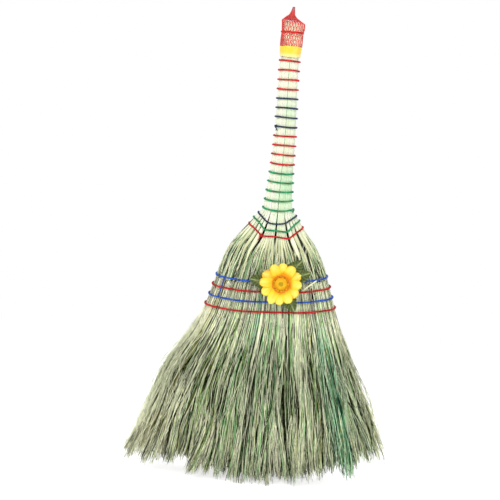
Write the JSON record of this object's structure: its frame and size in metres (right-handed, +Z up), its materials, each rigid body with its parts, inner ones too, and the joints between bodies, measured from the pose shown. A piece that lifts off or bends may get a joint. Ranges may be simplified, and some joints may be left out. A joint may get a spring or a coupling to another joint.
{
  "type": "straw hand broom",
  "caption": "Short-handled straw broom: bundled straw grip bound with coloured twine, flared stitched skirt of bristles, net-capped end and a fabric flower on the front.",
  "frame": {"origin": "on the floor under the middle of the broom's bounding box, where the longest bristle tips stand", "axes": "+Z up along the grip from the bristle tips to the net's tail, -Y out of the side with the flower, +X to the right of that side"},
  "size_m": [0.3546, 0.085, 0.6636],
  "materials": {
    "straw_grip": "pale dried straw, satin",
    "straw_bristle": "olive-green dried straw bristles, dull",
    "twine_red": "twisted synthetic twine",
    "twine_blue": "twisted synthetic twine",
    "twine_green": "twisted synthetic twine",
    "tape_yellow": "glossy plastic tape",
    "net_red": "knitted plastic netting",
    "petal_yellow": "woven polyester, cut and pressed",
    "flower_orange": "woven polyester, cut and pressed",
    "leaf_green": "woven polyester, cut and pressed",
    "wire_green": "plastic-sheathed wire"
  },
  "bodies": {
    "root": {"bristle_tuft_back_left_1": "straw_bristle", "bristle_tuft_back_left_2": "straw_bristle", "bristle_tuft_back_left_3": "straw_bristle", "bristle_tuft_back_right_1": "straw_bristle", "bristle_tuft_back_right_2": "straw_bristle", "bristle_tuft_back_right_3": "straw_bristle", "bristle_tuft_front_left_1": "straw_bristle", "bristle_tuft_front_left_2": "straw_bristle", "bristle_tuft_front_left_3": "straw_bristle", "bristle_tuft_front_right_1": "straw_bristle", "bristle_tuft_front_right_2": "straw_bristle", "bristle_tuft_front_right_3": "straw_bristle", "bristle_tuft_left_1": "straw_bristle", "bristle_tuft_left_2": "straw_bristle", "bristle_tuft_left_3": "straw_bristle", "bristle_tuft_right_1": "straw_bristle", "bristle_tuft_right_2": "straw_bristle", "bristle_tuft_right_3": "straw_bristle", "flower_calyx": "leaf_green", "flower_centre": "flower_orange", "flower_corona": "flower_orange", "flower_stem": "wire_green", "grip_string_blue": "twine_blue", "grip_string_green": "twine_green", "grip_string_red_lower": "twine_red", "grip_string_red_upper": "twine_red", "leaf_left": "leaf_green", "leaf_lower_right": "leaf_green", "leaf_right": "leaf_green", "leaf_upper_right": "leaf_green", "neck_row_blue": "twine_blue", "neck_row_green": "twine_green", "neck_row_red": "twine_red", "net_cap": "net_red", "net_tie": "net_red", "petals_inner": "petal_yellow", "petals_outer": "petal_yellow", "skirt_row_blue_lower": "twine_blue", "skirt_row_blue_upper": "twine_blue", "skirt_row_red_lower": "twine_red", "skirt_row_red_upper": "twine_red", "straw_bundle_back_left": "straw_grip", "straw_bundle_back_right": "straw_grip", "straw_bundle_front_left": "straw_grip", "straw_bundle_front_right": "straw_grip", "straw_bundle_left": "straw_grip", "straw_bundle_right": "straw_grip", "tape_band": "tape_yellow"}
  },
  "joints": []
}
